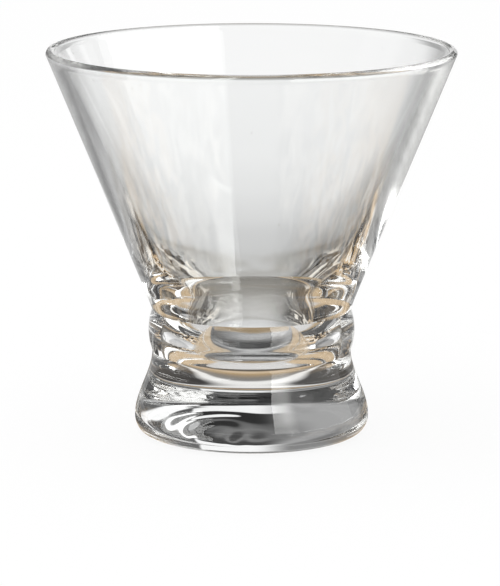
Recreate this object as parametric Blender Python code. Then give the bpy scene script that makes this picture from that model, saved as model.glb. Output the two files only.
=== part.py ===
"""Stemless martini glass.

Three pieces of clear glass, turned about the vertical axis and stacked on each other:
the bowl, a vessel with a straight cone wall and a short well, which ends below in a closed tip;
the collar, a ring that wraps the tip and makes the bulge at the waist;
the foot, a heavy flared base with a socket that takes the end of the tip.
"""

import math

import bmesh
import bpy

# Outer form, in metres. Heights of the pieces add up from the table
GLASS_HEIGHT = 0.0990
RIM_RADIUS = 0.0520
LIP_THICKNESS = 0.0024
WAIST_RADIUS = 0.0254
FILLET_HEIGHT = 0.0052
FILLET_SPREAD = 0.0020
COLLAR_HEIGHT = 0.0107
COLLAR_BULGE = 0.00095
FOOT_HEIGHT = 0.0214
FOOT_RADIUS = 0.02995
FOOT_WIDEST_HEIGHT = 0.0046
FLARE_LOWER_LEAD = 0.0053
FLARE_UPPER_LEAD = 0.0055
HEEL_TUCK = 0.0036
HEEL_BEND_HEIGHT = 0.0008
BEARING_WIDTH = 0.0044
PUNT_HEIGHT = 0.0025

# Inside of the bowl. The wall thickens from the lip down to the end of the straight cone
LOWER_WALL = 0.0060
INNER_CONE_END_ABOVE_SEAT = 0.0164
SHOULDER_LEAD_IN = 0.0080
SHOULDER_LEAD_OUT = 0.0080
WELL_TOP_RADIUS = 0.0170
WELL_MOUTH_FLARE = 0.0031
WELL_RADIUS = 0.0152
WELL_WALL_LEAD = 0.0025
WELL_CORNER_RADIUS = 0.0040
WELL_DEPTH_IN_FOOT = 0.0008

# Tip of the bowl, and the room that the collar and the foot leave around it
TIP_WALL = 0.0042
TIP_BOTTOM = 0.0050
TIP_CORNER_RADIUS = 0.0030
SEAT_CLEARANCE = 0.0003

# Heights where the pieces meet, and radii that follow from the sizes above
SEAT_HEIGHT = FOOT_HEIGHT + COLLAR_HEIGHT
LIP_RADIUS = LIP_THICKNESS / 2
CONE_TOP_HEIGHT = GLASS_HEIGHT - LIP_RADIUS
CONE_START_HEIGHT = SEAT_HEIGHT + FILLET_HEIGHT
CONE_START_RADIUS = WAIST_RADIUS + FILLET_SPREAD
INNER_CONE_END_HEIGHT = SEAT_HEIGHT + INNER_CONE_END_ABOVE_SEAT
WELL_TOP_HEIGHT = SEAT_HEIGHT
WELL_FLOOR_HEIGHT = FOOT_HEIGHT - WELL_DEPTH_IN_FOOT
WELL_CORNER_HEIGHT = WELL_FLOOR_HEIGHT + WELL_CORNER_RADIUS
BEARING_OUTER_RADIUS = FOOT_RADIUS - HEEL_TUCK
BEARING_INNER_RADIUS = BEARING_OUTER_RADIUS - BEARING_WIDTH

# Facets
TURN_STEPS = 64
LIP_STEPS = 6
FILLET_STEPS = 5
SHOULDER_STEPS = 10
WELL_STEPS = 5
CORNER_STEPS = 5
COLLAR_STEPS = 8
FLARE_STEPS = 10
HEEL_STEPS = 5
PUNT_STEPS = 4
MERGE_DISTANCE = 1e-6
SHARP_ANGLE = math.radians(35)

# Refractive index of soda-lime glass
GLASS_IOR = 1.52


def clear_scene():
    for old in list(bpy.data.objects):
        bpy.data.objects.remove(old, do_unlink=True)


def glass_material(name, colour):
    """Clear polished glass. Thicker pieces have a deeper tint."""
    material = bpy.data.materials.new(name)
    material.use_nodes = True
    shader = material.node_tree.nodes["Principled BSDF"]
    shader.inputs["Base Color"].default_value = (*colour, 1.0)
    shader.inputs["Roughness"].default_value = 0.0
    shader.inputs["Metallic"].default_value = 0.0
    shader.inputs["IOR"].default_value = GLASS_IOR
    shader.inputs["Transmission Weight"].default_value = 1.0
    return material


def bezier(controls, steps):
    """Points on a Bezier curve, both ends included."""
    points = []
    for step in range(steps + 1):
        share = step / steps
        hull = controls
        while len(hull) > 1:
            pairs = zip(hull, hull[1:])
            hull = [(a[0] + (b[0] - a[0]) * share, a[1] + (b[1] - a[1]) * share) for a, b in pairs]
        points.append(hull[0])
    return points


def arc(centre, radius, start, end, steps):
    """Points on an arc from one angle in degrees to another, both ends included."""
    points = []
    for step in range(steps + 1):
        angle = math.radians(start + (end - start) * step / steps)
        points.append((centre[0] + radius * math.cos(angle), centre[1] + radius * math.sin(angle)))
    return points


def outer_cone_radius(height):
    """Radius of the bowl's straight outer wall at a height."""
    slope = (RIM_RADIUS - CONE_START_RADIUS) / (CONE_TOP_HEIGHT - CONE_START_HEIGHT)
    return CONE_START_RADIUS + slope * (height - CONE_START_HEIGHT)


def inner_cone_radius(height):
    """Radius of the bowl's straight inner wall at a height."""
    end_radius = outer_cone_radius(INNER_CONE_END_HEIGHT) - LOWER_WALL
    lip_radius = RIM_RADIUS - LIP_THICKNESS
    slope = (lip_radius - end_radius) / (CONE_TOP_HEIGHT - INNER_CONE_END_HEIGHT)
    return end_radius + slope * (height - INNER_CONE_END_HEIGHT)


def tip_radius(height):
    """Radius of the tip's tapered outside at a height."""
    taper = (WELL_TOP_RADIUS - WELL_RADIUS) / (WELL_TOP_HEIGHT - WELL_CORNER_HEIGHT)
    return WELL_RADIUS + TIP_WALL + taper * (height - WELL_CORNER_HEIGHT)


def tip_line(top_height, clearance):
    """The tip's outside from a height down to the axis, or its socket when given a clearance."""
    bottom = WELL_FLOOR_HEIGHT - TIP_BOTTOM - clearance
    corner = TIP_CORNER_RADIUS + clearance
    wall = tip_radius(bottom + corner) + clearance
    points = [(tip_radius(top_height) + clearance, top_height)]
    points += arc((wall - corner, bottom + corner), corner, 0, -90, CORNER_STEPS)
    points.append((0.0, bottom))
    return points


def bowl_outer_line():
    """From the seat up the fillet, which bends into the straight cone."""
    bend_height = SEAT_HEIGHT + FILLET_HEIGHT / 2
    seat_edge = (WAIST_RADIUS, SEAT_HEIGHT)
    bend = (outer_cone_radius(bend_height), bend_height)
    cone_start = (CONE_START_RADIUS, CONE_START_HEIGHT)
    return bezier([seat_edge, bend, cone_start], FILLET_STEPS)


def bowl_lip():
    """The fire-polished lip, a half round from the outer wall over to the inner one."""
    return arc((RIM_RADIUS - LIP_RADIUS, CONE_TOP_HEIGHT), LIP_RADIUS, 0, 180, LIP_STEPS)


def bowl_inner_line():
    """From the end of the straight inner cone over the shoulder and down the well to its floor."""
    lead_in_height = INNER_CONE_END_HEIGHT - SHOULDER_LEAD_IN
    mouth_slope = WELL_MOUTH_FLARE / SHOULDER_LEAD_OUT
    shoulder = [
        (inner_cone_radius(INNER_CONE_END_HEIGHT), INNER_CONE_END_HEIGHT),
        (inner_cone_radius(lead_in_height), lead_in_height),
        (WELL_TOP_RADIUS + WELL_MOUTH_FLARE, WELL_TOP_HEIGHT + SHOULDER_LEAD_OUT),
        (WELL_TOP_RADIUS, WELL_TOP_HEIGHT),
    ]
    well_wall = [
        (WELL_TOP_RADIUS, WELL_TOP_HEIGHT),
        (WELL_TOP_RADIUS - mouth_slope * WELL_WALL_LEAD, WELL_TOP_HEIGHT - WELL_WALL_LEAD),
        (WELL_RADIUS, WELL_CORNER_HEIGHT + WELL_WALL_LEAD),
        (WELL_RADIUS, WELL_CORNER_HEIGHT),
    ]
    corner_centre = (WELL_RADIUS - WELL_CORNER_RADIUS, WELL_CORNER_HEIGHT)
    points = bezier(shoulder, SHOULDER_STEPS)
    points += bezier(well_wall, WELL_STEPS)[1:]
    points += arc(corner_centre, WELL_CORNER_RADIUS, 0, -90, CORNER_STEPS)[1:]
    points.append((0.0, WELL_FLOOR_HEIGHT))
    return points


def collar_outer_line():
    """The bulge of the collar, from its lower edge up."""
    points = []
    for step in range(COLLAR_STEPS + 1):
        share = step / COLLAR_STEPS
        swell = 1 - (2 * share - 1) ** 2
        points.append((WAIST_RADIUS + COLLAR_BULGE * swell, FOOT_HEIGHT + COLLAR_HEIGHT * share))
    return points


def punt_line():
    """The shallow dome under the foot, from the axis out to the bearing ring."""
    points = []
    for step in range(PUNT_STEPS + 1):
        share = step / PUNT_STEPS
        points.append((BEARING_INNER_RADIUS * share, PUNT_HEIGHT * (1 - share**2)))
    return points


def foot_outer_line():
    """From the bearing ring round the heel, then up the flare, which is upright at both ends."""
    widest = (FOOT_RADIUS, FOOT_WIDEST_HEIGHT)
    heel = [(BEARING_OUTER_RADIUS, 0.0), (FOOT_RADIUS, HEEL_BEND_HEIGHT), widest]
    flare = [
        widest,
        (FOOT_RADIUS, FOOT_WIDEST_HEIGHT + FLARE_LOWER_LEAD),
        (WAIST_RADIUS, FOOT_HEIGHT - FLARE_UPPER_LEAD),
        (WAIST_RADIUS, FOOT_HEIGHT),
    ]
    return bezier(heel, HEEL_STEPS) + bezier(flare, FLARE_STEPS)[1:]


def turned_piece(name, outline, material, is_ring=False):
    """Spins an outline of (radius, height) points about the vertical axis into a closed body."""
    shape = bmesh.new()
    verts = [shape.verts.new((radius, 0.0, height)) for radius, height in outline]
    edges = [shape.edges.new(pair) for pair in zip(verts, verts[1:])]
    if is_ring:
        edges.append(shape.edges.new((verts[-1], verts[0])))
    bmesh.ops.spin(
        shape,
        geom=verts + edges,
        cent=(0, 0, 0),
        axis=(0, 0, 1),
        angle=2 * math.pi,
        steps=TURN_STEPS,
        use_merge=True,
    )
    bmesh.ops.remove_doubles(shape, verts=shape.verts, dist=MERGE_DISTANCE)
    bmesh.ops.recalc_face_normals(shape, faces=shape.faces)
    mesh = bpy.data.meshes.new(name)
    shape.to_mesh(mesh)
    shape.free()
    mesh.shade_smooth()
    mesh.set_sharp_from_angle(angle=SHARP_ANGLE)
    mesh.materials.append(material)
    bpy.context.scene.collection.objects.link(bpy.data.objects.new(name, mesh))


def make_bowl():
    """The vessel: the tip under a flat seat, then the outer wall, the lip and the inside."""
    tip = tip_line(SEAT_HEIGHT, 0.0)
    outline = tip[::-1] + bowl_outer_line() + bowl_lip() + bowl_inner_line()
    turned_piece("bowl", outline, glass_material("bowl_glass", (0.985, 0.99, 0.988)))


def make_collar():
    """The ring between the bowl's seat and the foot, bored for the tip."""
    bore = [(tip_radius(height) + SEAT_CLEARANCE, height) for height in (SEAT_HEIGHT, FOOT_HEIGHT)]
    outline = collar_outer_line() + bore
    turned_piece("collar", outline, glass_material("collar_glass", (0.98, 0.985, 0.982)), is_ring=True)


def make_foot():
    """The base: punt, bearing ring, heel and flare outside, and the tip's socket in its top."""
    socket = tip_line(FOOT_HEIGHT, SEAT_CLEARANCE)
    outline = punt_line() + foot_outer_line() + socket
    turned_piece("foot", outline, glass_material("foot_glass", (0.975, 0.982, 0.978)))


clear_scene()
make_bowl()
make_collar()
make_foot()
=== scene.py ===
# %% [markdown]
# # A stemless martini glass
#
# The real object is nothing but clear glass: a cone-shaped bowl, a bulging collar at the waist and
# a heavy flared foot. Clear glass has no paint to copy. All of its looks come from an exact
# outline, from a thick wall with the right inside, and from a studio that is worth bending into
# streaks. The lesson makes them in that order.

# %% Load the measured model
import math

import bmesh
import bpy
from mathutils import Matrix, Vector, noise


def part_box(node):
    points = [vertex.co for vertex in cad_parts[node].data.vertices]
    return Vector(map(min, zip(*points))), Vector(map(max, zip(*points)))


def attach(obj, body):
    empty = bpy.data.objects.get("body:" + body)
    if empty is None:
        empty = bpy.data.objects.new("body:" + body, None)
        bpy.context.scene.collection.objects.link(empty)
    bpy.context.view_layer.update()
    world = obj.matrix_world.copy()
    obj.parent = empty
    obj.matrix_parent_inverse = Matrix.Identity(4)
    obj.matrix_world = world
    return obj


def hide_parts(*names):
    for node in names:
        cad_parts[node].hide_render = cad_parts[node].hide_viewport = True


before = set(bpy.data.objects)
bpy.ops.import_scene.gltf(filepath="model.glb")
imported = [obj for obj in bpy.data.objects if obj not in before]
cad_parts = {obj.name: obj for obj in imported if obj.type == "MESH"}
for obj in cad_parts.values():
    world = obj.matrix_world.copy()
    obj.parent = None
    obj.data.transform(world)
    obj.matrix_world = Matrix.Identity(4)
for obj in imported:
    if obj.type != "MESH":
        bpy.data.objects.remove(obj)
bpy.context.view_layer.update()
for node in sorted(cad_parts):
    low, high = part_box(node)
    print(f"{node}: {low.z * 1000:.1f} to {high.z * 1000:.1f} mm high, {high.x * 2000:.1f} mm wide")

# %% [markdown]
# ## The outline
#
# Every piece is a solid of revolution, so half of its cross-section says everything about it. The
# measured model already holds the heights where the pieces meet, and they are read from it. The
# rest are the turner's sizes: how far the waist is drawn in, how thick the wall is, how deep the
# well goes. Curves could be drawn by eye, but a Bezier with few handles stays smooth when it is
# bent by refraction, and glass shows every kink twice.

# %% Sizes of the outside
RIM_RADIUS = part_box("bowl")[1].x
GLASS_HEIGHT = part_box("bowl")[1].z
SEAT_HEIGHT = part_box("collar")[1].z
FOOT_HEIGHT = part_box("foot")[1].z
FOOT_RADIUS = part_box("foot")[1].x
LIP_RADIUS = 0.0012
WAIST_RADIUS = 0.0254
FILLET_HEIGHT = 0.0052
FILLET_SPREAD = 0.0020
COLLAR_BULGE = 0.00095
FOOT_WIDEST_HEIGHT = 0.0046
FLARE_LOWER_LEAD = 0.0053
FLARE_UPPER_LEAD = 0.0055
HEEL_TUCK = 0.0036
HEEL_BEND_HEIGHT = 0.0008
BEARING_WIDTH = 0.0044
BEARING_OUTER_RADIUS = FOOT_RADIUS - HEEL_TUCK
BEARING_INNER_RADIUS = BEARING_OUTER_RADIUS - BEARING_WIDTH
PUNT_HEIGHT = 0.0025
CONE_TOP = GLASS_HEIGHT - LIP_RADIUS
CONE_START = SEAT_HEIGHT + FILLET_HEIGHT
CONE_START_RADIUS = WAIST_RADIUS + FILLET_SPREAD
print(f"glass {GLASS_HEIGHT * 1000:.1f} mm high, rim {RIM_RADIUS * 2000:.1f} mm across")

# %% Sizes of the inside
LOWER_WALL = 0.0060
INNER_CONE_END_ABOVE_SEAT = 0.0164
INNER_CONE_END = SEAT_HEIGHT + INNER_CONE_END_ABOVE_SEAT
SHOULDER_LEAD = 0.0080
WELL_TOP_RADIUS = 0.0170
WELL_MOUTH_FLARE = 0.0031
WELL_RADIUS = 0.0152
WELL_LEAD = 0.0025
WELL_CORNER = 0.0040
WELL_DEPTH_IN_FOOT = 0.0008
WELL_FLOOR = FOOT_HEIGHT - WELL_DEPTH_IN_FOOT
WELL_CORNER_TOP = WELL_FLOOR + WELL_CORNER
TIP_WALL = 0.0042
TIP_BOTTOM = 0.0050
TIP_CORNER = 0.0030
SEAT_CLEARANCE = 0.0003
print(f"well floor {WELL_FLOOR * 1000:.1f} mm above the table")

# %% Curves that the outline is drawn with
def bezier(handles, steps):
    """Points on a Bezier curve, both ends included."""
    points = []
    for step in range(steps + 1):
        share = step / steps
        hull = handles
        while len(hull) > 1:
            pairs = zip(hull, hull[1:])
            hull = [(a[0] + (b[0] - a[0]) * share, a[1] + (b[1] - a[1]) * share) for a, b in pairs]
        points.append(hull[0])
    return points


def arc(centre, radius, start, end, steps):
    """Points on an arc from one angle in degrees to another, both ends included."""
    angles = [math.radians(start + (end - start) * step / steps) for step in range(steps + 1)]
    return [(centre[0] + radius * math.cos(a), centre[1] + radius * math.sin(a)) for a in angles]


def outer_cone(height):
    """Radius of the straight outer wall at a height."""
    slope = (RIM_RADIUS - CONE_START_RADIUS) / (CONE_TOP - CONE_START)
    return CONE_START_RADIUS + slope * (height - CONE_START)


def inner_cone(height):
    """Radius of the straight inner wall at a height: the wall thickens on its way down."""
    end = outer_cone(INNER_CONE_END) - LOWER_WALL
    slope = (RIM_RADIUS - 2 * LIP_RADIUS - end) / (CONE_TOP - INNER_CONE_END)
    return end + slope * (height - INNER_CONE_END)


def tip_radius(height):
    """Radius of the tip's tapered outside at a height."""
    taper = (WELL_TOP_RADIUS - WELL_RADIUS) / (SEAT_HEIGHT - WELL_CORNER_TOP)
    return WELL_RADIUS + TIP_WALL + taper * (height - WELL_CORNER_TOP)


middle = (CONE_START + CONE_TOP) / 2
print(f"wall {(outer_cone(middle) - inner_cone(middle)) * 1000:.1f} mm thick at mid height")

# %% [markdown]
# ## Turning a piece
#
# A glassmaker turns the work on the pipe or in a mould, and the Spin operator does the same to a
# line of edges. Each piece gets two kinds of surface. The skin is the polished glass that light
# meets. The seam is where two gathers were pressed together hot: the real seam has vanished, so
# it needs its own see-through finish, or light would bend there a second time. Skin and seam are
# spun as separate lines and welded where they meet, so each piece is still a closed body.

# %% The lathe
TURN_STEPS = 288
WELD_DISTANCE = 1e-6
SKIN = 0
SEAM = 1


def turn(shape, line, surface):
    """Spins a line of (radius, height) points into a band of faces of one surface."""
    verts = [shape.verts.new((radius, 0.0, height)) for radius, height in line]
    edges = [shape.edges.new(pair) for pair in zip(verts, verts[1:])]
    before = len(shape.faces)
    bmesh.ops.spin(
        shape,
        geom=verts + edges,
        cent=(0, 0, 0),
        axis=(0, 0, 1),
        angle=2 * math.pi,
        steps=TURN_STEPS,
        use_merge=True,
    )
    shape.faces.ensure_lookup_table()
    for face in shape.faces[before:]:
        face.material_index = surface


def weld(shape):
    """Joins the bands into one closed body with its faces outward."""
    bmesh.ops.remove_doubles(shape, verts=shape.verts, dist=WELD_DISTANCE)
    bmesh.ops.recalc_face_normals(shape, faces=shape.faces)
    shape.verts.index_update()
    count = len(shape.verts)

    def rank(face):
        """A number for a face from its three lowest points, as Spin leaves faces in any order."""
        first, second, third = sorted(vert.index for vert in face.verts)[:3]
        return (first * count + second) * count + third

    shape.faces.sort(key=rank)
    shape.normal_update()


step_length = 2 * math.pi * RIM_RADIUS / TURN_STEPS
print(f"{TURN_STEPS} steps to a turn, {step_length * 1000:.2f} mm at the rim")

# %% [markdown]
# ## The tip, and the room for it
#
# Below its seat the bowl ends in a closed tip that goes through the collar into a socket in the
# foot. One function draws the tip, and with a clearance it draws the bore and the socket too, so
# that the pieces always fit each other.

# %% Seam lines
TIP_STEPS = 8


def tip_line(top, clearance):
    """The tip's outside from a height down to the axis."""
    bottom = WELL_FLOOR - TIP_BOTTOM - clearance
    corner = TIP_CORNER + clearance
    wall = tip_radius(bottom + corner) + clearance
    points = [(tip_radius(top) + clearance, top)]
    points += arc((wall - corner, bottom + corner), corner, 0, -90, TIP_STEPS)
    return points + [(0.0, bottom)]


bowl_seam = [(WAIST_RADIUS, SEAT_HEIGHT)] + tip_line(SEAT_HEIGHT, 0.0)
foot_seam = [(WAIST_RADIUS, FOOT_HEIGHT)] + tip_line(FOOT_HEIGHT, SEAT_CLEARANCE)
collar_seam = [
    (WAIST_RADIUS, SEAT_HEIGHT),
    (tip_radius(SEAT_HEIGHT) + SEAT_CLEARANCE, SEAT_HEIGHT),
    (tip_radius(FOOT_HEIGHT) + SEAT_CLEARANCE, FOOT_HEIGHT),
    (WAIST_RADIUS, FOOT_HEIGHT),
]
print(f"the tip is {bowl_seam[1][0] * 2000:.1f} mm wide at the seat")

# %% [markdown]
# ## The bowl
#
# The bowl is a straight cone with a fire-polished lip. Its inside is what the eye reads first: the
# wall grows from 2.4 mm at the lip to 6 mm low down, bends over a shoulder and drops into a short
# well with a flat floor. A plain cone with an even wall would be quicker to make, but then the
# lower bowl would look empty, because all of its streaks are the shoulder and the well, seen
# through thick glass.

# %% The bowl's outside
FILLET_STEPS = 16
CONE_STEPS = 40
LIP_STEPS = 16

bowl_outside = bezier(
    [
        (WAIST_RADIUS, SEAT_HEIGHT),
        (outer_cone(SEAT_HEIGHT + FILLET_HEIGHT / 2), SEAT_HEIGHT + FILLET_HEIGHT / 2),
        (CONE_START_RADIUS, CONE_START),
    ],
    FILLET_STEPS,
)
cone = [(CONE_START_RADIUS, CONE_START), (RIM_RADIUS, CONE_TOP)]
bowl_outside += bezier(cone, CONE_STEPS)[1:]
lip = arc((RIM_RADIUS - LIP_RADIUS, CONE_TOP), LIP_RADIUS, 0, 180, LIP_STEPS)[1:]
print(f"lip {LIP_RADIUS * 2000:.1f} mm thick")

# %% The bowl's inside
INNER_STEPS = 56
SHOULDER_STEPS = 36
WELL_STEPS = 20
CORNER_STEPS = 20
FLOOR_STEPS = 18

inner_end = (inner_cone(INNER_CONE_END), INNER_CONE_END)
inner_wall = bezier([lip[-1], inner_end], INNER_STEPS)[1:]
shoulder = bezier(
    [
        inner_end,
        (inner_cone(INNER_CONE_END - SHOULDER_LEAD), INNER_CONE_END - SHOULDER_LEAD),
        (WELL_TOP_RADIUS + WELL_MOUTH_FLARE, SEAT_HEIGHT + SHOULDER_LEAD),
        (WELL_TOP_RADIUS, SEAT_HEIGHT),
    ],
    SHOULDER_STEPS,
)[1:]
mouth_slope = WELL_MOUTH_FLARE / SHOULDER_LEAD
well_side = bezier(
    [
        (WELL_TOP_RADIUS, SEAT_HEIGHT),
        (WELL_TOP_RADIUS - mouth_slope * WELL_LEAD, SEAT_HEIGHT - WELL_LEAD),
        (WELL_RADIUS, WELL_CORNER_TOP + WELL_LEAD),
        (WELL_RADIUS, WELL_CORNER_TOP),
    ],
    WELL_STEPS,
)[1:]
corner_centre = (WELL_RADIUS - WELL_CORNER, WELL_CORNER_TOP)
well_corner = arc(corner_centre, WELL_CORNER, 0, -90, CORNER_STEPS)[1:]
well_floor = bezier([well_corner[-1], (0.0, WELL_FLOOR)], FLOOR_STEPS)[1:]
bowl_inside = inner_wall + shoulder + well_side + well_corner + well_floor
print(f"inside {(GLASS_HEIGHT - WELL_FLOOR) * 1000:.1f} mm deep")

# %% Turn the bowl
bowl_skin = bowl_outside + lip + bowl_inside
bowl_shape = bmesh.new()
turn(bowl_shape, bowl_skin, SKIN)
turn(bowl_shape, bowl_seam, SEAM)
weld(bowl_shape)
print(f"bowl: {len(bowl_skin)} points in its skin line, {len(bowl_shape.faces)} faces")

# %% [markdown]
# ## The collar and the foot
#
# The collar is a ring with a slight bulge, so it works as a strong lens around the well. The foot
# flares in an S from the waist to the heel, stands on a flat ring and is hollowed underneath by a
# shallow dome, the punt, so that it doesn't rock.

# %% Turn the collar
COLLAR_STEPS = 28

collar_height = SEAT_HEIGHT - FOOT_HEIGHT
collar_skin = []
for step in range(COLLAR_STEPS + 1):
    share = step / COLLAR_STEPS
    swell = 1 - (2 * share - 1) ** 2
    collar_skin.append((WAIST_RADIUS + COLLAR_BULGE * swell, FOOT_HEIGHT + collar_height * share))

collar_shape = bmesh.new()
turn(collar_shape, collar_skin, SKIN)
turn(collar_shape, collar_seam, SEAM)
weld(collar_shape)
print(f"collar: {len(collar_shape.faces)} faces")

# %% Turn the foot
PUNT_STEPS = 40
HEEL_STEPS = 16
FLARE_STEPS = 48

shares = [step / PUNT_STEPS for step in range(PUNT_STEPS + 1)]
punt = [(BEARING_INNER_RADIUS * share, PUNT_HEIGHT * (1 - share**2)) for share in shares]
widest = (FOOT_RADIUS, FOOT_WIDEST_HEIGHT)
heel_bend = (FOOT_RADIUS, HEEL_BEND_HEIGHT)
heel = bezier([(BEARING_OUTER_RADIUS, 0.0), heel_bend, widest], HEEL_STEPS)
flare = bezier(
    [
        widest,
        (FOOT_RADIUS, FOOT_WIDEST_HEIGHT + FLARE_LOWER_LEAD),
        (WAIST_RADIUS, FOOT_HEIGHT - FLARE_UPPER_LEAD),
        (WAIST_RADIUS, FOOT_HEIGHT),
    ],
    FLARE_STEPS,
)[1:]

foot_shape = bmesh.new()
turn(foot_shape, punt + heel + flare, SKIN)
turn(foot_shape, foot_seam, SEAM)
weld(foot_shape)
print(f"foot: {len(foot_shape.faces)} faces")

# %% [markdown]
# ## Hand-worked ripples
#
# No hot-worked glass is truly round. The shoulder inside the bowl keeps shallow lumps, and the
# flare of the foot keeps a few more. Shears that cut a gather leave a mark, and here that is a set
# of rings in the punt. All of them are only hundredths of a millimetre deep, but refraction turns
# them into torn black and white streaks. They are moved into the mesh itself, because a bump map
# changes the shading but not the shape. The noise is always the same, so the glass comes out alike
# each time.

# %% Ripple helpers
MM = 0.001
FINER = 2.1
FINER_SHARE = 0.5


def fade(value, start, end):
    """0 at start and 1 at end, with a soft step between."""
    share = min(1.0, max(0.0, (value - start) / (end - start)))
    return share * share * (3 - 2 * share)


def lumps(place, across, along, seed):
    """Smooth noise between about -1 and 1, with its own width across and along the axis."""
    spot = Vector((place.x / across, place.y / across, place.z / along)) + Vector(seed)
    return noise.noise(spot) + FINER_SHARE * noise.noise(spot * FINER)


def ripple(shape, depth):
    """Moves the skin along its normals by depth(place, normal), in metres."""
    skin = {vert for face in shape.faces if face.material_index == SKIN for vert in face.verts}
    moves = [(vert, depth(vert.co, vert.normal)) for vert in skin]
    moves = [(vert, vert.normal * move) for vert, move in moves if move]
    for vert, move in moves:
        vert.co += move
    shape.normal_update()
    return len(moves)


print("ripple helpers ready")

# %% Ripple the bowl
BOWL_LUMPS = 0.052 * MM
BOWL_LUMP_SIZE = (7.0 * MM, 4.5 * MM)
BOWL_SEED = (3.7, 1.2, 5.1)
SHOULDER_RISE = (28 * MM, 34 * MM)
SHOULDER_FALL = (36 * MM, 49 * MM)
STILL_ABOVE = 60 * MM
TIP_MARGIN = 3.0 * MM
CALM_RIGHT = 0.75
CALM_SPAN = (-5 * MM, 10 * MM)


def inside_of_bowl(place, normal):
    """Strongest at the shoulder, calmer at the right, and none on the outside or the lip."""
    radius = math.hypot(place.x, place.y)
    outward = normal.x * place.x + normal.y * place.y > 0
    if place.z > STILL_ABOVE or outward and radius > WELL_TOP_RADIUS + TIP_MARGIN:
        return 0.0
    calmer = 1 - CALM_RIGHT * fade(place.x, *CALM_SPAN)
    shoulder = fade(place.z, *SHOULDER_RISE) * (1 - fade(place.z, *SHOULDER_FALL))
    return BOWL_LUMPS * calmer * shoulder * lumps(place, *BOWL_LUMP_SIZE, BOWL_SEED)


print(ripple(bowl_shape, inside_of_bowl), "points rippled inside the bowl")

# %% Ripple the foot
FLARE_LUMPS = 0.009 * MM
FLARE_LUMP_SIZE = (14.0 * MM, 2.6 * MM)
FLARE_SEED = (0.4, 8.3, 2.2)
FLARE_RISE = (6 * MM, 12 * MM)
FLARE_FALL = (19.5 * MM, 21 * MM)
FLARE_MARGIN = 0.1 * MM
PUNT_LUMPS = 0.012 * MM
PUNT_LUMP_SIZE = (9.0 * MM, 9.0 * MM)
PUNT_SEED = (6.1, 2.7, 0.3)
PUNT_EDGE = (12 * MM, BEARING_INNER_RADIUS - 1 * MM)
SHEAR_RINGS = 0.042 * MM
SHEAR_WAVE = 5.0 * MM
SHEAR_SPREAD = 14.0 * MM
SHEAR_CENTRE = Vector((-6.5 * MM, -8.5 * MM))
SHEAR_START = (1 * MM, 6 * MM)
SHEAR_CALM = 0.8
SHEAR_CALM_SPAN = (-6 * MM, 2 * MM)
FACING_DOWN = -0.5


def shear_mark(place):
    """Rings around the place where the shears closed, weaker far away and at the right."""
    away = (place.xy - SHEAR_CENTRE).length
    rings = math.cos(2 * math.pi * away / SHEAR_WAVE) * math.exp(-((away / SHEAR_SPREAD) ** 2))
    return rings * fade(away, *SHEAR_START) * (1 - SHEAR_CALM * fade(place.x, *SHEAR_CALM_SPAN))


def flare_and_punt(place, normal):
    """On the flare between groove and heel, and in the punt under the foot."""
    radius = math.hypot(place.x, place.y)
    if normal.z < FACING_DOWN and radius < BEARING_INNER_RADIUS:
        edge = 1 - fade(radius, *PUNT_EDGE)
        soft = PUNT_LUMPS * lumps(place, *PUNT_LUMP_SIZE, PUNT_SEED)
        return edge * (soft + SHEAR_RINGS * shear_mark(place))
    if radius > WAIST_RADIUS - FLARE_MARGIN and place.z > FLARE_RISE[0]:
        band = fade(place.z, *FLARE_RISE) * (1 - fade(place.z, *FLARE_FALL))
        return band * FLARE_LUMPS * lumps(place, *FLARE_LUMP_SIZE, FLARE_SEED)
    return 0.0


print(ripple(foot_shape, flare_and_punt), "points rippled on the foot")

# %% [markdown]
# ## Finishes
#
# Glass in Blender is the Principled shader with full transmission, next to no roughness and an
# index of refraction of 1.52, which is soda-lime glass. What keeps it from looking like a perfect
# computer lens is very faint: flow lines that run round the glass, a thin film where hands have
# held the upper bowl, and a few specks. The film also softens the edges of the wall, where light
# is thrown to and fro inside the glass many times. All three pieces share these, so they are one
# node group that puts out a colour, a roughness and a height, and each piece sets how much of each
# it shows.

# %% Node helpers
def add(tree, kind, **settings):
    """A node with its properties set."""
    node = tree.nodes.new(kind)
    for name, value in settings.items():
        setattr(node, name, value)
    return node


def math_node(tree, operation, first, second=0.5):
    """A Math node fed by links or numbers."""
    node = add(tree, "ShaderNodeMath", operation=operation)
    for socket, value in zip(node.inputs, (first, second)):
        if isinstance(value, (int, float)):
            socket.default_value = value
        else:
            tree.links.new(value, socket)
    return node.outputs[0]


def range_node(tree, value, from_low, from_high, to_low, to_high):
    """A Map Range node: a value moved from one span to another, and held inside it."""
    node = add(tree, "ShaderNodeMapRange", interpolation_type="SMOOTHSTEP")
    for socket, number in zip(node.inputs[1:5], (from_low, from_high, to_low, to_high)):
        socket.default_value = number
    tree.links.new(value, node.inputs[0])
    return node.outputs[0]


print("node helpers ready")

# %% The worked-glass node group
worked = bpy.data.node_groups.new("worked_glass", "ShaderNodeTree")
for name, kind in (
    ("Flow Depth", "NodeSocketFloat"),
    ("Smears", "NodeSocketFloat"),
    ("Tint", "NodeSocketColor"),
):
    worked.interface.new_socket(name, in_out="INPUT", socket_type=kind)
for name, kind in (
    ("Colour", "NodeSocketColor"),
    ("Roughness", "NodeSocketFloat"),
    ("Height", "NodeSocketFloat"),
):
    worked.interface.new_socket(name, in_out="OUTPUT", socket_type=kind)
group_in = add(worked, "NodeGroupInput")
group_out = add(worked, "NodeGroupOutput")
place = add(worked, "ShaderNodeTexCoord").outputs["Object"]


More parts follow.
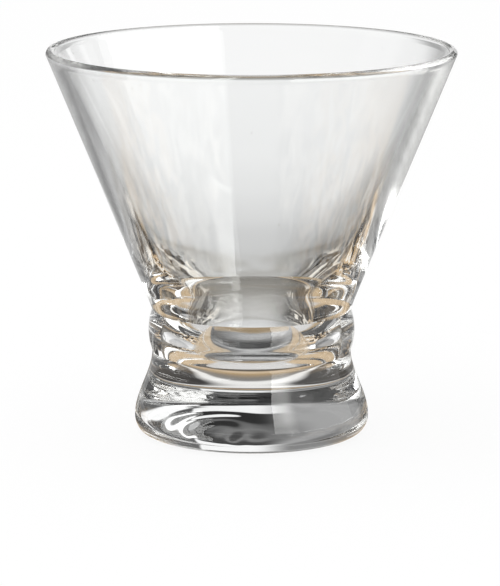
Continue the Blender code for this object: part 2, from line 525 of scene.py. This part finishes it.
def stretched_noise(scale, turn, detail):
    """Noise that is drawn out along some axes."""
    stretch = add(worked, "ShaderNodeMapping")
    stretch.inputs["Scale"].default_value = scale
    stretch.inputs["Rotation"].default_value = turn
    worked.links.new(place, stretch.inputs["Vector"])
    grain = add(worked, "ShaderNodeTexNoise")
    grain.inputs["Scale"].default_value = 1.0
    grain.inputs["Detail"].default_value = detail
    worked.links.new(stretch.outputs[0], grain.inputs["Vector"])
    return grain.outputs["Fac"]


print("worked_glass:", [item.name for item in worked.interface.items_tree])

# %% Flow lines, film and specks
FLOW_SCALE = (35.0, 35.0, 900.0)
FLOW_TURN = (0.0, 0.0, 0.0)
FLOW_DETAIL = 1.0
FILM_SCALE = (60.0, 60.0, 14.0)
FILM_TURN = (0.5, 0.3, 0.0)
FILM_DETAIL = 6.0
FILM_SPAN = (0.45, 0.75)
FILM_LEAST = 0.5
HANDLED_SPAN = (0.044, 0.058)
UNHANDLED_SHARE = 0.15
SPECKS_PER_METRE = 110.0
SPECK_EDGE = (0.018, 0.03)
SPECK_COLOUR = (0.45, 0.43, 0.40, 1.0)

flow = stretched_noise(FLOW_SCALE, FLOW_TURN, FLOW_DETAIL)
depth = math_node(worked, "MULTIPLY", flow, group_in.outputs["Flow Depth"])
worked.links.new(depth, group_out.inputs["Height"])

film = stretched_noise(FILM_SCALE, FILM_TURN, FILM_DETAIL)
film = range_node(worked, film, *FILM_SPAN, FILM_LEAST, 1.0)
split = add(worked, "ShaderNodeSeparateXYZ")
worked.links.new(place, split.inputs[0])
handled = range_node(worked, split.outputs["Z"], *HANDLED_SPAN, UNHANDLED_SHARE, 1.0)
film = math_node(worked, "MULTIPLY", film, handled)
rough = math_node(worked, "MULTIPLY", film, group_in.outputs["Smears"])
worked.links.new(rough, group_out.inputs["Roughness"])

specks = add(worked, "ShaderNodeTexVoronoi", feature="F1")
specks.inputs["Scale"].default_value = SPECKS_PER_METRE
worked.links.new(place, specks.inputs["Vector"])
speck = range_node(worked, specks.outputs["Distance"], *SPECK_EDGE, 1.0, 0.0)
shade = add(worked, "ShaderNodeMix", data_type="RGBA")
worked.links.new(speck, shade.inputs["Factor"])
worked.links.new(group_in.outputs["Tint"], shade.inputs[6])
shade.inputs[7].default_value = SPECK_COLOUR
worked.links.new(shade.outputs[2], group_out.inputs["Colour"])
print("worked_glass:", len(worked.nodes), "nodes")

# %% Glass for the three pieces, and the fused seam
GLASS_IOR = 1.52
FLOW_HEIGHT = 0.00001


def clear_glass(name, tint, flow_depth, smears):
    """Polished glass with faint flow lines, film and specks."""
    material = bpy.data.materials.new(name)
    material.use_nodes = True
    tree = material.node_tree
    shader = tree.nodes["Principled BSDF"]
    shader.inputs["IOR"].default_value = GLASS_IOR
    shader.inputs["Transmission Weight"].default_value = 1.0
    shader.inputs["Metallic"].default_value = 0.0
    detail = add(tree, "ShaderNodeGroup", node_tree=worked)
    detail.inputs["Flow Depth"].default_value = flow_depth
    detail.inputs["Smears"].default_value = smears
    detail.inputs["Tint"].default_value = (*tint, 1.0)
    bump = add(tree, "ShaderNodeBump")
    bump.inputs["Strength"].default_value = 1.0
    bump.inputs["Distance"].default_value = FLOW_HEIGHT
    tree.links.new(detail.outputs["Height"], bump.inputs["Height"])
    tree.links.new(detail.outputs["Colour"], shader.inputs["Base Color"])
    tree.links.new(detail.outputs["Roughness"], shader.inputs["Roughness"])
    tree.links.new(bump.outputs["Normal"], shader.inputs["Normal"])
    return material


def fused_seam(name):
    """Where two gathers have melted into one: nothing is left to see."""
    material = bpy.data.materials.new(name)
    material.use_nodes = True
    shader = material.node_tree.nodes["Principled BSDF"]
    shader.inputs["Alpha"].default_value = 0.0
    return material


BOWL_TINT = (0.985, 0.990, 0.988)
COLLAR_TINT = (0.985, 0.988, 0.986)
FOOT_TINT = (0.982, 0.987, 0.985)

bowl_glass = clear_glass("bowl_glass", BOWL_TINT, flow_depth=0.03, smears=0.06)
collar_glass = clear_glass("collar_glass", COLLAR_TINT, flow_depth=0.03, smears=0.03)
foot_glass = clear_glass("foot_glass", FOOT_TINT, flow_depth=0.03, smears=0.03)
seam_glass = fused_seam("fused_seam")
print("finishes:", bowl_glass.name, collar_glass.name, foot_glass.name, seam_glass.name)

# %% [markdown]
# ## Put the pieces in place
#
# Each new piece takes the place of one node of the measured model, which is hidden, and rides on
# the root body. The pieces were turned about the model's own axis, so nothing has to be moved. The
# edges at the grooves are sharp, and everything else is smooth.

# %% Finish the pieces
SHARP_ANGLE = math.radians(40)


def finish_piece(name, shape, glass, node):
    """Makes the mesh an object, gives it its finishes, hangs it on the root body and hides the node
    it takes the place of.
    """
    mesh = bpy.data.meshes.new(name)
    shape.to_mesh(mesh)
    shape.free()
    mesh.shade_smooth()
    mesh.set_sharp_from_angle(angle=SHARP_ANGLE)
    mesh.materials.append(glass)
    mesh.materials.append(seam_glass)
    piece = bpy.data.objects.new(name, mesh)
    bpy.context.scene.collection.objects.link(piece)
    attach(piece, "root")
    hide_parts(node)
    mesh.calc_loop_triangles()
    print(name, len(mesh.loop_triangles), "triangles")


finish_piece("clear_bowl", bowl_shape, bowl_glass, "bowl")
finish_piece("clear_collar", collar_shape, collar_glass, "collar")
finish_piece("clear_foot", foot_shape, foot_glass, "foot")

# %% [markdown]
# ## The studio floor
#
# The glass stands on a plain white floor under a white sky. A white floor that is only lit would
# need strong lamps, which would burn out the glass. Instead, rays from the camera, and rays that
# reach the floor through the glass or off it, see a white of strength 1, with a share of the real
# lit floor mixed in, so that the soft shadow stays.

# %% Studio helpers
def background_rays(tree):
    """1 for rays from the camera, off a gloss or through glass, else 0."""
    rays = add(tree, "ShaderNodeLightPath").outputs
    seen = math_node(tree, "MAXIMUM", rays["Is Camera Ray"], rays["Is Glossy Ray"])
    return math_node(tree, "MAXIMUM", seen, rays["Is Transmission Ray"])


def empty_material(name):
    """A material with only its output, and its tree."""
    material = bpy.data.materials.new(name)
    material.use_nodes = True
    material.node_tree.nodes.clear()
    return material, material.node_tree, add(material.node_tree, "ShaderNodeOutputMaterial")


def stage_object(name, shape, material):
    """A part of the studio, with its place in its mesh."""
    mesh = bpy.data.meshes.new(name)
    shape.to_mesh(mesh)
    shape.free()
    mesh.materials.append(material)
    thing = bpy.data.objects.new(name, mesh)
    bpy.context.scene.collection.objects.link(thing)
    return thing


print("studio helpers ready")

# %% The floor
FLOOR_DROP = 0.0003
FLOOR_RADIUS = 8.0
FLOOR_COLOUR = (0.9, 0.9, 0.9, 1.0)
WHITE_SHARE = 0.92

floor_shape = bmesh.new()
bmesh.ops.create_circle(floor_shape, cap_ends=True, segments=128, radius=FLOOR_RADIUS)
bmesh.ops.translate(floor_shape, verts=floor_shape.verts, vec=(0, 0, -FLOOR_DROP))
floor_paint, tree, output = empty_material("white_floor")
lit = add(tree, "ShaderNodeBsdfDiffuse")
lit.inputs["Color"].default_value = FLOOR_COLOUR
white = add(tree, "ShaderNodeEmission")
mix = add(tree, "ShaderNodeMixShader")
share = math_node(tree, "MULTIPLY", background_rays(tree), WHITE_SHARE)
tree.links.new(share, mix.inputs[0])
tree.links.new(lit.outputs[0], mix.inputs[1])
tree.links.new(white.outputs[0], mix.inputs[2])
tree.links.new(mix.outputs[0], output.inputs[0])
stage_object("floor", floor_shape, floor_paint)
print("floor", FLOOR_DROP * 1000, "mm under the foot")

# %% The sky
SKY_LIGHT = 0.9
SKY_WHITE = 1.0

world = bpy.data.worlds.new("studio_sky")
bpy.context.scene.world = world
world.use_nodes = True
sky_tree = world.node_tree
sky = sky_tree.nodes["Background"]
sky.inputs["Color"].default_value = (1, 1, 1, 1)
strength = range_node(sky_tree, background_rays(sky_tree), 0.0, 1.0, SKY_LIGHT, SKY_WHITE)
sky_tree.links.new(strength, sky.inputs["Strength"])
print("sky", SKY_LIGHT, "as light and", SKY_WHITE, "where it is seen")

# %% [markdown]
# ## Cards around the glass
#
# Photographers draw glass with cards: what the wall bends into view is whatever lies and stands
# around it. Three things are placed here. A card lies on the table, a tent of dark and light cards
# stands far out, and a tall softbox stands close at the right in front. They could be lamps, but
# lamps would burn out the floor. So they only glow for gloss and glass: the camera never sees the
# cards themselves, and they throw neither light nor shadow on the floor. All three have to know
# where around the glass a point lies, so one node group works that out for them.

# %% Where a point lies in the studio
DEGREES = 180 / math.pi

studio = bpy.data.node_groups.new("studio_place", "ShaderNodeTree")
for name in ("Side", "Back", "Up", "Reach", "Azimuth", "Elevation"):
    studio.interface.new_socket(name, in_out="OUTPUT", socket_type="NodeSocketFloat")
group_out = add(studio, "NodeGroupOutput")
split = add(studio, "ShaderNodeSeparateXYZ")
studio.links.new(add(studio, "ShaderNodeTexCoord").outputs["Object"], split.inputs[0])
side, back, up = split.outputs
squares = [math_node(studio, "MULTIPLY", value, value) for value in (side, back)]
reach = math_node(studio, "SQRT", math_node(studio, "ADD", *squares))
turned = math_node(studio, "MULTIPLY", math_node(studio, "ARCTAN2", back, side), DEGREES)
raised = math_node(studio, "MULTIPLY", math_node(studio, "ARCTAN2", up, reach), DEGREES)
for socket, value in zip(group_out.inputs, (side, back, up, reach, turned, raised)):
    studio.links.new(value, socket)
print("studio_place:", len(studio.nodes), "nodes")

# %% Card helpers
def glowing(name):
    """A material that only glows: itself, its tree, its colour socket and its studio_place."""
    material, tree, output = empty_material(name)
    material.cycles.emission_sampling = "NONE"
    glow = add(tree, "ShaderNodeEmission")
    tree.links.new(glow.outputs[0], output.inputs[0])
    place = add(tree, "ShaderNodeGroup", node_tree=studio)
    return material, tree, glow.inputs["Color"], place.outputs


def hide_from_camera(card):
    """Only gloss and glass see a card."""
    card.visible_camera = False
    card.visible_diffuse = False
    card.visible_shadow = False


def colour_ramp(tree, value, low, high, stops):
    """A colour for each place between low and high, from (place, colour) stops."""
    ramp = add(tree, "ShaderNodeValToRGB")
    span = high - low
    elements = ramp.color_ramp.elements
    for element, (place, colour) in zip(elements, (stops[0], stops[-1])):
        element.position, element.color = (place - low) / span, (*colour, 1)
    for place, colour in stops[1:-1]:
        elements.new((place - low) / span).color = (*colour, 1)
    spread = add(tree, "ShaderNodeMapRange")
    spread.inputs[1].default_value = low
    spread.inputs[2].default_value = high
    tree.links.new(value, spread.inputs[0])
    tree.links.new(spread.outputs[0], ramp.inputs[0])
    return ramp.outputs["Color"]


def mix_colour(tree, factor, first, second):
    """A Mix node for colours, fed by links or by red, green and blue."""
    node = add(tree, "ShaderNodeMix", data_type="RGBA")
    tree.links.new(factor, node.inputs[0])
    for socket, value in ((node.inputs[6], first), (node.inputs[7], second)):
        if isinstance(value, tuple):
            socket.default_value = (*value, 1)
        else:
            tree.links.new(value, socket)
    return node.outputs[2]


def both(tree, first, second):
    """1 where two masks are both 1."""
    return math_node(tree, "MULTIPLY", first, second)


print("card helpers ready")

# %% [markdown]
# ## The card on the table
#
# Through the bowl, each height shows one distance on the table behind it. The card carries painted
# shade: dark close to the glass, like the glass's own shadow on the table, and lighter with
# distance, so it comes out as the grey bottom and the white top of the bowl. A lamp that falls off
# could grade a plain card, but the stops of a colour ramp can be set one by one. Across, a painted
# shadow lies behind at the right, the card is darker behind at both sides, which draws the edges of
# the wall, and lighter far out at both sides. In front it is an even grey, which hardly shows in
# this view.

# %% Painted shade greys by distance
RAMP_END = 0.6
BLUE_IN_BLACK = 0.76
BLUE_GAIN = 0.36


def grey(value):
    """A grey that is a little warm when it is dark."""
    blue = min(1.0, BLUE_IN_BLACK + BLUE_GAIN * value)
    return (value, value * (2 + blue) / 3, value * blue)


# Distance from the axis in metres, and grey of the painted shade, dark close to the glass
painted_shade_greys = [(0.000, 0.33), (0.050, 0.21), (0.062, 0.24), (0.073, 0.285), (0.085, 0.34)]
painted_shade_greys += [(0.093, 0.40), (0.099, 0.45), (0.105, 0.50), (0.111, 0.54), (0.122, 0.57)]
painted_shade_greys += [(0.128, 0.50), (0.131, 0.48), (0.135, 0.57), (0.140, 0.65), (0.150, 0.68)]
painted_shade_greys += [(0.187, 0.72), (0.217, 0.80), (0.254, 0.905), (0.300, 0.98), (0.400, 1.02)]
painted_shade_stops = [(distance, grey(value)) for distance, value in painted_shade_greys]

card_paint, tree, card_glow, place = glowing("graded_card")
side, back, reach = place["Side"], place["Back"], place["Reach"]
aside = math_node(tree, "ABSOLUTE", side)
card = colour_ramp(tree, reach, 0.0, RAMP_END, painted_shade_stops)
print(len(painted_shade_stops), "greys from the axis outward")

# %% Light and shade across the card
BLACK = (0.0, 0.0, 0.0)
WHITE = (1.0, 1.0, 1.0)
FRONT_GREY = (0.40, 0.40, 0.40)

# A colour and two masks. Each mask has a measure, where it starts and is full, and its strength
shades = [
    # A painted shadow of the glass, behind it at the right
    (BLACK, (side, 0.008, 0.040, 0.54), (back, 0.215, 0.098, 1.0)),
    (WHITE, (aside, 0.020, 0.060, 0.42), (back, 0.180, 0.225, 1.0)),
    (BLACK, (side, 0.080, 0.104, 0.58), (back, 0.085, 0.110, 1.0)),
    (BLACK, (side, -0.088, -0.112, 0.36), (back, 0.085, 0.110, 1.0)),
    (FRONT_GREY, (back, -0.015, -0.080, 1.0), (reach, 0.230, 0.150, 1.0)),
]
for colour, *pair in shades:
    masks = [range_node(tree, *span, 0.0, strength) for *span, strength in pair]
    card = mix_colour(tree, both(tree, *masks), card, colour)
print(len(shades), "shades across the card")

# %% [markdown]
# ## Warm paper close to the glass
#
# The collar and the waist show what lies close beside the glass, and there the real one is beige.
# Tinted glass would be beige everywhere. A sheet of warm paper that reaches out to both sides
# colours only the places that look that way. Close around the foot, painted shade darkens the paper
# under the glass, and a painted ring of contact shadow and a painted bright caustic ring come out
# as the bands of the waist and the lines along its grooves.

# %% Paper at both sides
PAPER = (0.66, 0.48, 0.29)
PAPER_END = (0.130, 0.165)
PAPER_EDGE = (0.0, 0.012)
PAPER_NARROWS = (0.108, 0.116)
NARROW_SHARE = 0.35
LEFT_TO_RIGHT = (-0.02, 0.02)
LEFT_SHARE = 0.5

# The paper widens with distance, less at the left, and narrows near its end
narrow = range_node(tree, reach, *PAPER_NARROWS, 1.0, NARROW_SHARE)
opening = both(tree, narrow, range_node(tree, side, *LEFT_TO_RIGHT, LEFT_SHARE, 1.0))
depth = math_node(tree, "ABSOLUTE", back)
past = math_node(tree, "SUBTRACT", depth, both(tree, aside, opening))
near_sides = range_node(tree, reach, *PAPER_END, 1.0, 0.0)
beside = both(tree, range_node(tree, past, *PAPER_EDGE, 1.0, 0.0), near_sides)
card = mix_colour(tree, beside, card, PAPER)
print(f"paper fades out from {PAPER_END[0] * 1000:.0f} to {PAPER_END[1] * 1000:.0f} mm")

# %% Painted shadow and caustic rings around the foot
RINGS_RAMP_END = 0.06
RINGS_FADE = (0.050, 0.058)
UNDER_GREY = (0.72, 0.71, 0.70)
UNDER_BACK = (0.003, 0.010)
UNDER_ASIDE = (0.019, 0.023)

# Painted: shade on the paper under the glass, a contact shadow at 35 to 41 mm, a caustic at 42 mm
shadow_and_caustic_stops = [(0.000, (0.42, 0.30, 0.17)), (0.015, (0.44, 0.32, 0.18))]
shadow_and_caustic_stops += [(0.024, (0.68, 0.53, 0.36)), (0.031, (0.66, 0.51, 0.34))]
shadow_and_caustic_stops += [(0.035, (0.08, 0.07, 0.06)), (0.0412, (0.05, 0.047, 0.045))]
shadow_and_caustic_stops += [(0.0423, (0.90, 0.89, 0.87)), (0.0431, (0.92, 0.91, 0.89))]
shadow_and_caustic_stops += [(0.0436, (0.26, 0.25, 0.24)), (0.0445, (0.24, 0.22, 0.19))]
shadow_and_caustic_stops += [(0.0465, (0.44, 0.31, 0.17)), (0.0487, (0.66, 0.52, 0.36))]
shadow_and_caustic_stops += [(0.0500, (0.40, 0.31, 0.22)), (0.0510, (0.06, 0.05, 0.04))]
shadow_and_caustic_stops += [(0.0560, (0.20, 0.18, 0.15))]
rings = colour_ramp(tree, reach, 0.0, RINGS_RAMP_END, shadow_and_caustic_stops)
near_axis = range_node(tree, aside, *UNDER_ASIDE, 1.0, 0.0)
under = both(tree, range_node(tree, back, *UNDER_BACK, 1.0, 0.0), near_axis)
rings = mix_colour(tree, under, rings, UNDER_GREY)
card = mix_colour(tree, range_node(tree, reach, *RINGS_FADE, 1.0, 0.0), card, rings)
print(len(shadow_and_caustic_stops), "stops in the rings")

# %% [markdown]
# ## Light on the card
#
# A lit glass throws bright and dark patches on the table beside it, and sees them again as the
# swirls at its shoulder. Real caustics take very long to render, so noise stands in for them here.
# The softbox also lights the table, far out. That glow shows in the well and in the grooves at the
# right.

# %% Patches beside the glass
PATCH_NOISE = {"Scale": 70.0, "Detail": 2.0, "Distortion": 1.2}
PATCHES_FROM = (0.034, 0.044)
PATCHES_TO = (0.105, 0.125)
PATCHES_ASIDE = (0.020, 0.034)
# Where the noise starts and is full, and the colour
patches = [(0.49, 0.46, (0.03, 0.027, 0.025)), (0.57, 0.60, (0.95, 0.9, 0.82))]

swirls = add(tree, "ShaderNodeTexNoise")
for name, value in PATCH_NOISE.items():
    swirls.inputs[name].default_value = value
tree.links.new(add(tree, "ShaderNodeTexCoord").outputs["Object"], swirls.inputs["Vector"])
around = range_node(tree, reach, *PATCHES_FROM, 0.0, 1.0)
around = both(tree, around, range_node(tree, reach, *PATCHES_TO, 1.0, 0.0))
around = both(tree, around, range_node(tree, aside, *PATCHES_ASIDE, 0.0, 1.0))
for start, full, colour in patches:
    patch = range_node(tree, swirls.outputs["Fac"], start, full, 0.0, 1.0)
    card = mix_colour(tree, both(tree, patch, around), card, colour)
print(len(patches), "kinds of patch")

# %% Lay the card
SHEEN = (3.2, 3.18, 3.12)
SHEEN_STARTS = (-70.5, -69.5)
SHEEN_STOPS = (21.0, 24.0)
SHEEN_BEYOND = (0.18, 0.25)
CARD_REACH = 1.0
CARD_HEIGHT = -0.0001

turned = place["Azimuth"]
lit = range_node(tree, turned, *SHEEN_STARTS, 0.0, 1.0)
lit = both(tree, lit, range_node(tree, turned, *SHEEN_STOPS, 1.0, 0.0))
lit = both(tree, lit, range_node(tree, reach, *SHEEN_BEYOND, 0.0, 1.0))
tree.links.new(mix_colour(tree, lit, card, SHEEN), card_glow)

card_shape = bmesh.new()
corners = [(-1, -1), (1, -1), (1, 1), (-1, 1)]
corners = [(x * CARD_REACH, y * CARD_REACH, CARD_HEIGHT) for x, y in corners]
bmesh.ops.contextual_create(card_shape, geom=[card_shape.verts.new(spot) for spot in corners])
hide_from_camera(stage_object("graded_card", card_shape, card_paint))
print("card reaches", CARD_REACH, "m to each side")

# %% [markdown]
# ## The tent
#
# The solid foot looks up and out, not at the table, so its black and white bands are cards that
# stand far out around the glass. They could be many planes. Half a sphere with a shade for each
# direction is easier to adjust: azimuth is 0 at the right and 90 behind, and elevation rises from
# the table. Behind, it is white up to 12 degrees and dark above. At the right and at the left it
# has two light panes in a dark wall.

# %% Shades of the tent
# Azimuths where it starts and ends, and how soft the ends are, in degrees
LEFT_CARD = (96, 145, 4.0)

# Elevation in degrees, and grey
dark_stops = [(0, 0.02), (20, 0.03), (23, 0.15), (25, 0.17), (27, 0.04), (40, 0.04), (43, 0.26)]
dark_stops += [(48, 0.40), (55, 0.40), (60, 0.15), (64, 0.02), (90, 0.01)]
left_stops = [(0, 0.20), (9, 0.20), (12, 0.36), (16, 0.36), (20, 0.24), (30, 0.08), (44, 0.08)]
left_stops += [(58, 0.10), (64, 0.02)]
side_stops = [(0, 0.32), (9, 0.32), (12, 0.14), (16, 0.12), (22, 0.06), (58, 0.06), (64, 0.01)]
pane_stops = [(0, 0), (12.2, 0), (12.6, 1), (14.6, 1), (15.2, 0), (19.6, 0), (20.4, 0.45)]
pane_stops += [(29.5, 0.45), (31, 0)]

tent_paint, tree, tent_glow, place = glowing("studio_tent")
turned, raised = place["Azimuth"], place["Elevation"]


def between(low, high, soft):
    """1 for azimuths from low to high, with soft ends, else 0."""
    start = range_node(tree, turned, low - soft, low + soft, 0.0, 1.0)
    return both(tree, start, range_node(tree, turned, high - soft, high + soft, 1.0, 0.0))


def grey_ramp(stops):
    """A grey for each elevation."""
    return colour_ramp(tree, raised, 0.0, 90.0, [(spot, (value,) * 3) for spot, value in stops])


dark = grey_ramp(dark_stops)
tent = grey_ramp(side_stops)
tent = mix_colour(tree, between(*LEFT_CARD), tent, grey_ramp(left_stops))
print("tent shades ready")

# %% The white back and the panes
BACK_STARTS = (71.0, 73.0)
BACK_STOPS = (90.0, 104.0)
BACK_TOP = (11.2, 12.2)
WALL_GREY = (0.10, 0.10, 0.10)
WALL_TOP = (31.0, 40.0)
RIGHT_WALL = (22.5, 72, 0.8)
RIGHT_PANES = (30, 73.5, 0.8)
LEFT_PANES = (162.0, 167.0)
LEFT_STRENGTH = 0.7
PANE_WHITE = (1.1, 1.1, 1.1)

backdrop = mix_colour(tree, range_node(tree, raised, *BACK_TOP, 0.0, 1.0), WHITE, dark)
white_back = range_node(tree, turned, *BACK_STARTS, 0.0, 1.0)
white_back = both(tree, white_back, range_node(tree, turned, *BACK_STOPS, 1.0, 0.0))
tent = mix_colour(tree, white_back, tent, backdrop)
wall = mix_colour(tree, range_node(tree, raised, *WALL_TOP, 0.0, 1.0), WALL_GREY, dark)
tent = mix_colour(tree, between(*RIGHT_WALL), tent, wall)

panes = add(tree, "ShaderNodeRGBToBW")
tree.links.new(grey_ramp(pane_stops), panes.inputs[0])
off_right = math_node(tree, "ABSOLUTE", turned)
left_side = range_node(tree, off_right, *LEFT_PANES, 0.0, LEFT_STRENGTH)
both_sides = math_node(tree, "ADD", between(*RIGHT_PANES), left_side)
panes = both(tree, panes.outputs[0], both_sides)
tree.links.new(mix_colour(tree, panes, tent, PANE_WHITE), tent_glow)
print("white back and panes ready")

# %% Pitch the tent
TENT_RADIUS = 1.6

tent_shape = bmesh.new()
bmesh.ops.create_uvsphere(tent_shape, u_segments=96, v_segments=48, radius=TENT_RADIUS)
bmesh.ops.bisect_plane(
    tent_shape,
    geom=tent_shape.verts[:] + tent_shape.edges[:] + tent_shape.faces[:],
    plane_co=(0, 0, 0),
    plane_no=(0, 0, 1),
    clear_inner=True,
)
hide_from_camera(stage_object("studio_tent", tent_shape, tent_paint))
print("tent radius", TENT_RADIUS, "m")

# %% [markdown]
# ## The softbox
#
# The straight line down the bowl and the foot is the edge of a softbox, reflected in the walls. A
# softbox far away would be equally strong on the bowl and on the foot. A near one is seen from
# each height at its own angle, so it can be faint on the bowl and strong on the foot. It is one
# upright edge, spun part of the way round the glass, with its own brightness for each height.

# %% Set up the softbox
SOFTBOX_REACH = 0.35
SOFTBOX_TOP = 0.62
SOFTBOX_ENDS = (-68.3, 22.5)
SOFTBOX_STEPS = 60
SOFTBOX_BLUE = 0.98
FLANK_STARTS = (-56.0, -42.0)

# Height in metres, and brightness
front_stops = [(0.0, 3.0), (0.06, 3.2), (0.09, 4.6), (0.125, 5.8), (0.19, 5.4), (0.215, 3.2)]
front_stops += [(0.24, 1.3), (0.27, 0.9), (0.31, 1.15), (0.62, 1.4)]
flank_stops = [(0.0, 0.78), (0.145, 0.78), (0.16, 1.5), (0.21, 1.6), (0.24, 1.2), (0.27, 1.0)]
flank_stops += [(0.31, 1.25), (0.62, 1.5)]

soft_paint, tree, soft_glow, place = glowing("softbox")
cloths = []
for stops in (front_stops, flank_stops):
    colours = [(spot, (value, value, value * SOFTBOX_BLUE)) for spot, value in stops]
    cloths.append(colour_ramp(tree, place["Up"], 0.0, SOFTBOX_TOP, colours))
flank = range_node(tree, place["Azimuth"], *FLANK_STARTS, 0.0, 1.0)
tree.links.new(mix_colour(tree, flank, *cloths), soft_glow)

soft_shape = bmesh.new()
start, end = (math.radians(angle) for angle in SOFTBOX_ENDS)
foot = Vector((SOFTBOX_REACH * math.cos(start), SOFTBOX_REACH * math.sin(start), 0))
ends = [soft_shape.verts.new(foot), soft_shape.verts.new(foot + Vector((0, 0, SOFTBOX_TOP)))]
bmesh.ops.spin(
    soft_shape,
    geom=ends + [soft_shape.edges.new(ends)],
    cent=(0, 0, 0),
    axis=(0, 0, 1),
    steps=SOFTBOX_STEPS,
    angle=end - start,
)
hide_from_camera(stage_object("softbox", soft_shape, soft_paint))
print("softbox", SOFTBOX_REACH, "m away")

# %% [markdown]
# ## Lamp and camera
#
# One large soft lamp overhead gives the floor its shadow. The camera looks down by about 11
# degrees through a long lens from a little under a metre, which is how the picture's ellipses of
# rim and foot were found to fit together. Clear glass needs many bounces, or thick parts turn
# black.

# %% Lamp
LAMP_WATTS = 6.0
LAMP_SIZE = 1.2
LAMP_PLACE = Vector((-0.3, -0.2, 1.3))
LAMP_AIM = Vector((0, 0, 0.05))

lamp = bpy.data.lights.new("overhead", "AREA")
lamp.energy = LAMP_WATTS
lamp.size = LAMP_SIZE
lamp_object = bpy.data.objects.new("overhead", lamp)
lamp_object.location = LAMP_PLACE
lamp_object.rotation_euler = (LAMP_AIM - LAMP_PLACE).to_track_quat("-Z", "Y").to_euler()
lamp_object.visible_glossy = False
lamp_object.visible_transmission = False
bpy.context.scene.collection.objects.link(lamp_object)
print("lamp", lamp.energy, "W")

# %% Camera
IMAGE_HEIGHT = 586
FOCAL_PIXELS = 3732.4
SHIFT_PIXELS = -1.5
SENSOR_WIDTH = 36.0
CLIP_END = 20.0
CAMERA_PLACE = (0.0, -0.9367, 0.2205)
CAMERA_TILT = math.radians(11.15)
GLASS_BOUNCES = 96
SEAM_BOUNCES = 64

camera = bpy.data.cameras.new("camera")
camera.sensor_width = SENSOR_WIDTH
camera.lens = FOCAL_PIXELS * SENSOR_WIDTH / IMAGE_HEIGHT
camera.shift_x = SHIFT_PIXELS / IMAGE_HEIGHT
camera.clip_end = CLIP_END
camera_object = bpy.data.objects.new("camera", camera)
camera_object.location = CAMERA_PLACE
camera_object.rotation_euler = (math.pi / 2 - CAMERA_TILT, 0.0, 0.0)
bpy.context.scene.collection.objects.link(camera_object)
scene = bpy.context.scene
scene.camera = camera_object
scene.view_settings.view_transform = "Standard"
scene.cycles.max_bounces = GLASS_BOUNCES
scene.cycles.transmission_bounces = GLASS_BOUNCES
scene.cycles.glossy_bounces = GLASS_BOUNCES
scene.cycles.transparent_max_bounces = SEAM_BOUNCES
print(f"lens {camera.lens:.0f} mm")
